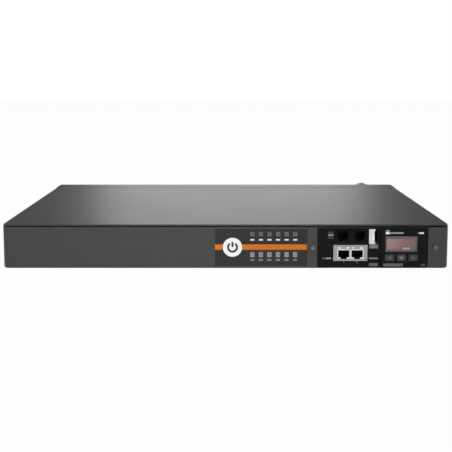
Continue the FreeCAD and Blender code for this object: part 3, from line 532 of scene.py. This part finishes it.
def printReadout():
    low = boxMm("display_panel")[0]
    bottom, top = readoutLook["up"]
    readout = bmesh.new()
    for left, right in readoutLook["across"]:
        outline = softRectangle((low.x + left, low.x + right), (low.z + bottom, low.z + top),
                                readoutLook["corner"])
        addOutline(readout, outline, low.y - readoutLook["inkDepth"], readoutLook["inkDepth"])
    makePiece("display_readout", readout, "readoutPale", unitBody)


printLabel()
printRoundel()
printLegends()
printReadout()
mouldKeys()
print("print laid on the label and module, keys moulded")


# folded rims round the network ports, from the shell's lower left corner; they are the shield's own folded edge,
# made in near-white steel that paints highlights on the port frames

shieldLook = {"proud": 0.2, "rim": 0.85, "portMiddles": (10.1, 23.3), "portHalf": 5.5, "portBottom": 3.6,
              "portTop": 10.65, "latchHalf": 3.0, "ledge": 1.35, "corner": 0.3}


def foldShieldRims():
    low = boxMm("network_jack_shell")[0]
    rim = shieldLook["rim"]
    bottom = low.z + shieldLook["portBottom"]
    top = low.z + shieldLook["portTop"]
    shape = bmesh.new()
    for middle in shieldLook["portMiddles"]:
        left = low.x + middle - shieldLook["portHalf"]
        right = low.x + middle + shieldLook["portHalf"]
        latch = (low.x + middle - shieldLook["latchHalf"], low.x + middle + shieldLook["latchHalf"])
        bars = (((left - rim, left), (bottom - shieldLook["ledge"], top + rim)),
                ((right, right + rim), (bottom - shieldLook["ledge"], top + rim)),
                ((left, right), (top, top + rim)),
                ((left, latch[0]), (bottom - shieldLook["ledge"], bottom)),
                ((latch[1], right), (bottom - shieldLook["ledge"], bottom)))
        for across, up in bars:
            addOutline(shape, softRectangle(across, up, shieldLook["corner"]), low.y - shieldLook["proud"],
                       shieldLook["proud"])
    makePiece("shield_rims_highlight", shape, "brightSteelAndRimHighlight", unitBody)


# contacts on the tongue of the small port, facing the open side

usbLook = {"bladeRight": 3.6, "rises": (2.2, 4.5, 6.8, 9.1), "height": 1.1, "start": 1.2, "length": 7.0,
           "proud": 0.12}


def layUsbContacts():
    low = boxMm("usb_tongue")[0]
    x = low.x + usbLook["bladeRight"]
    half = usbLook["height"] / 2
    shape = bmesh.new()
    for rise in usbLook["rises"]:
        up = (low.z + rise - half, low.z + rise + half)
        addPlate(shape, (x, x + usbLook["proud"]), up, low.y + usbLook["start"], usbLook["length"])
    makePiece("usb_contacts", shape, "contactGold", unitBody)


# painted shade in the small port, as a black sheet: a lip round the right part of its flange, with two arms,
# a sleeve along its wall and a stop at its back, so that the port's right side and inside read dark

usbShadeLook = {"lip": 2.0, "arm": 6.2, "overlap": 0.3, "proud": 0.35, "wall": 1.7, "sleeve": 0.15,
             "depth": 8.4, "stop": 0.4, "room": 2.7}


def linePort():
    low, high = boxMm("usb_shell")
    shape = bmesh.new()
    margin = usbShadeLook["overlap"]
    inside = high.x - usbShadeLook["wall"]
    up = (low.z + usbShadeLook["wall"], high.z - usbShadeLook["wall"])
    arm, lip, end = low.x + usbShadeLook["arm"], high.x - usbShadeLook["lip"], high.x + margin
    bottom, top = low.z - margin, high.z + margin
    outline = [(end, bottom), (end, top), (arm, top), (arm, up[1]), (lip, up[1]), (lip, up[0]), (arm, up[0]),
               (arm, bottom)]
    addOutline(shape, outline, low.y - usbShadeLook["proud"], usbShadeLook["proud"])
    addPlate(shape, (inside - usbShadeLook["sleeve"], inside), up, low.y, usbShadeLook["depth"])
    addPlate(shape, (inside - usbShadeLook["room"], inside - usbShadeLook["sleeve"]), up,
             low.y + usbShadeLook["depth"] - usbShadeLook["stop"], usbShadeLook["stop"])
    makePiece("usb_port_painted_shade", shape, "jackBlack", unitBody)


# screws with a sunk cross, as rings of radius and level from the seat outwards

screwLook = {
    "steps": 36, "crossTaper": 0.75,
    "module_screws": {"rings": ((1.5, -9.0), (1.5, 0.0), (2.62, 0.0), (2.7, 0.1), (2.7, 1.0), (2.55, 1.45),
                                (2.1, 1.8)), "arm": 1.55, "width": 0.42, "depth": 0.9},
    "case_screws": {"rings": ((1.5, -6.0), (1.5, -1.2), (2.75, -0.06), (2.7, 0.0)), "arm": 1.6, "width": 0.42,
                    "depth": 0.9},
}


def addScrew(shape, place, look):
    rings = addTurned(shape, place, look["rings"], screwLook["steps"])
    shape.faces.new(rings[0])
    arm, width = look["arm"], look["width"]
    cross = [(arm, -width), (arm, width), (width, width), (width, arm), (-width, arm), (-width, width),
             (-arm, width), (-arm, -width), (-width, -width), (-width, -arm), (width, -arm), (width, -width)]
    level = look["rings"][-1][1]
    taper, floor = screwLook["crossTaper"], level - look["depth"]
    brim = [shape.verts.new(place @ (Vector((x, y, level)) * mm)) for x, y in cross]
    sunk = [shape.verts.new(place @ (Vector((x * taper, y * taper, floor)) * mm)) for x, y in cross]
    count = len(cross)
    for index in range(count):
        after = (index + 1) % count
        shape.faces.new([brim[index], brim[after], sunk[after], sunk[index]])
    shape.faces.new(sunk)
    loops = (rings[-1], brim)
    edges = [shape.edges.get((loop[index - 1], loop[index])) for loop in loops for index in range(len(loop))]
    bmesh.ops.triangle_fill(shape, use_beauty=True, edges=edges)


def driveScrews():
    low, high = boxMm("module_screws")
    look = screwLook["module_screws"]
    reach = max(radius for radius, level in look["rings"])
    shape = bmesh.new()
    seat = low.y + look["rings"][-1][1]
    for x in (low.x + reach, high.x - reach):
        place = Matrix.Translation(Vector((x, seat, (low.z + high.z) / 2)) * mm)
        addScrew(shape, place @ Matrix.Rotation(math.radians(90), 4, "X"), look)
    piece = makePiece("module_screw_heads", shape, "screwZinc", unitBody, smooth=True)
    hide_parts("module_screws")
    low, high = boxMm("case_screws")
    middle = (low + high) / 2
    shape = bmesh.new()
    for x, turn in ((low.x, -90), (high.x, 90)):
        place = Matrix.Translation(Vector((x, middle.y, middle.z)) * mm)
        addScrew(shape, place @ Matrix.Rotation(math.radians(turn), 4, "Y"), screwLook["case_screws"])
    piece = makePiece("case_screw_heads", shape, "screwZinc", unitBody, smooth=True)
    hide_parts("case_screws")


# soft ring in the mouth of the gland

sealLook = {"steps": 48, "setback": 1.2,
            "rings": ((6.35, -9.0), (6.35, -0.4), (6.1, 0.0), (5.3, 0.0), (4.9, -0.35), (4.6, -1.2),
                      (4.5, -3.0), (4.5, -9.0))}


def fitGlandSeal():
    low, high = boxMm("gland_dome")
    shape = bmesh.new()
    middle = (low + high) / 2
    place = Matrix.Translation(Vector((middle.x, high.y - sealLook["setback"], middle.z)) * mm)
    place = place @ Matrix.Rotation(math.radians(-90), 4, "X")
    rings = addTurned(shape, place, sealLook["rings"], sealLook["steps"])
    joinRings(shape, (rings[-1], rings[0]))
    makePiece("gland_seal_ring", shape, "sealRubber", unitBody, smooth=True)


foldShieldRims()
layUsbContacts()
linePort()
driveScrews()
fitGlandSeal()
print("small fittings made")


# camera, as the photograph stands to the object

cameraLook = {"side": 0.0004, "back": -0.7889, "height": 0.1915, "down": 5.19, "lens": 54.90, "sensor": 36,
              "shift": -0.1990, "nearest": 0.01}


def placeCamera():
    lens = bpy.data.cameras.new("camera")
    lens.lens = cameraLook["lens"]
    lens.sensor_width = cameraLook["sensor"]
    lens.shift_y = cameraLook["shift"]
    lens.clip_start = cameraLook["nearest"]
    camera = bpy.data.objects.new("camera", lens)
    camera.location = (cameraLook["side"], cameraLook["back"], cameraLook["height"])
    camera.rotation_euler = (math.radians(90 - cameraLook["down"]), 0, 0)
    bpy.context.scene.collection.objects.link(camera)
    bpy.context.scene.camera = camera


# studio: pale floor and surround, a soft front light with a narrow beam, a broad strip behind the top
# and a light at each rear side

studio = {"floorSize": 4.0, "floorWhite": 0.86, "floorGlossy": 0.6, "floorCamera": 0.97,
          "floorRough": (0.85, 0.95), "floorGrain": 3.0, "ambient": 0.21, "sideDim": 0.25, "sideStart": 0.15,
          "sideEnd": 0.75}


def whiteForCamera(tree, shaded, white, shareGlossy, shareCamera):
    path = tree.nodes.new("ShaderNodeLightPath")
    glossy = mathStep(tree, "MULTIPLY", path.outputs["Is Glossy Ray"], shareGlossy)
    seen = mathStep(tree, "MULTIPLY", path.outputs["Is Camera Ray"], shareCamera)
    shown = mathStep(tree, "ADD", glossy, seen)
    share = mathStep(tree, "MAXIMUM", shown, path.outputs["Is Transmission Ray"])
    mix = tree.nodes.new("ShaderNodeMixShader")
    tree.links.new(share, mix.inputs["Fac"])
    tree.links.new(shaded, mix.inputs[1])
    tree.links.new(white, mix.inputs[2])
    return mix.outputs["Shader"]


def layFloor():
    shape = bmesh.new()
    bmesh.ops.create_grid(shape, x_segments=1, y_segments=1, size=studio["floorSize"])
    mesh = bpy.data.meshes.new("floor")
    shape.to_mesh(mesh)
    shape.free()
    floor = bpy.data.objects.new("floor", mesh)
    bpy.context.scene.collection.objects.link(floor)
    finish, tree, shader = startFinish("floorWhite", (studio["floorWhite"],) * 3, studio["floorRough"][0])
    roughenBy(tree, shader, noiseField(tree, studio["floorGrain"]), *studio["floorRough"])
    glow = tree.nodes.new("ShaderNodeEmission")
    mixed = whiteForCamera(tree, shader.outputs["BSDF"], glow.outputs["Emission"], studio["floorGlossy"],
                           studio["floorCamera"])
    tree.links.new(mixed, tree.nodes["Material Output"].inputs["Surface"])
    mesh.materials.append(finish)


# the surround is dimmer towards both sides
def lightWorld():
    world = bpy.data.worlds.new("studioWorld")
    bpy.context.scene.world = world
    world.use_nodes = True
    tree = world.node_tree
    dim = tree.nodes["Background"]
    dim.inputs["Color"].default_value = (1, 1, 1, 1)
    place = tree.nodes.new("ShaderNodeTexCoord")
    split = tree.nodes.new("ShaderNodeSeparateXYZ")
    tree.links.new(place.outputs["Generated"], split.inputs["Vector"])
    span = tree.nodes.new("ShaderNodeMapRange")
    span.interpolation_type = "SMOOTHSTEP"
    for socket, value in (("From Min", studio["sideStart"]), ("From Max", studio["sideEnd"]),
                          ("To Min", studio["ambient"]), ("To Max", studio["ambient"] * studio["sideDim"])):
        span.inputs[socket].default_value = value
    tree.links.new(mathStep(tree, "ABSOLUTE", split.outputs["X"], 0.0), span.inputs["Value"])
    tree.links.new(span.outputs["Result"], dim.inputs["Strength"])
    white = tree.nodes.new("ShaderNodeBackground")
    white.inputs["Color"].default_value = (1, 1, 1, 1)
    white.inputs["Strength"].default_value = 1.0
    mixed = whiteForCamera(tree, dim.outputs["Background"], white.outputs["Background"], 0.0, 1.0)
    tree.links.new(mixed, tree.nodes["World Output"].inputs["Surface"])


lamps = {
    "frontSoft": {"at": (-0.3, -2.2, 0.9), "aim": (0, 0, 0.02), "size": (2.0, 1.4), "power": 6},
    "frontBeam": {"at": (-0.04, -1.49, 1.27), "aim": (-0.03, 0, 0.02), "size": (0.4, 0.3), "spread": 32,
                  "power": 0.95},
    "rearStrip": {"at": (0.02, 1.5, 0.46), "aim": (0, 0.0, 0.043), "size": (0.90, 0.5), "power": 3.5},
    "rearLeft": {"at": (-2.1, 1.6, 0.7), "aim": (0, 0.1, 0.02), "size": (0.8, 0.8), "power": 17},
    "rearRight": {"at": (2.1, 1.6, 0.7), "aim": (0, 0.1, 0.02), "size": (0.8, 0.8), "power": 17},
}


def hangLamps():
    for name, lamp in lamps.items():
        light = bpy.data.lights.new(name, "AREA")
        light.shape = "RECTANGLE"
        light.size, light.size_y = lamp["size"]
        light.energy = lamp["power"]
        light.spread = math.radians(lamp.get("spread", 180))
        holder = bpy.data.objects.new(name, light)
        holder.location = lamp["at"]
        aim = Vector(lamp["aim"]) - Vector(lamp["at"])
        holder.rotation_euler = aim.to_track_quat("-Z", "Y").to_euler()
        bpy.context.scene.collection.objects.link(holder)


placeCamera()
layFloor()
lightWorld()
hangLamps()
bpy.context.scene.view_settings.view_transform = "Standard"
print("studio set")
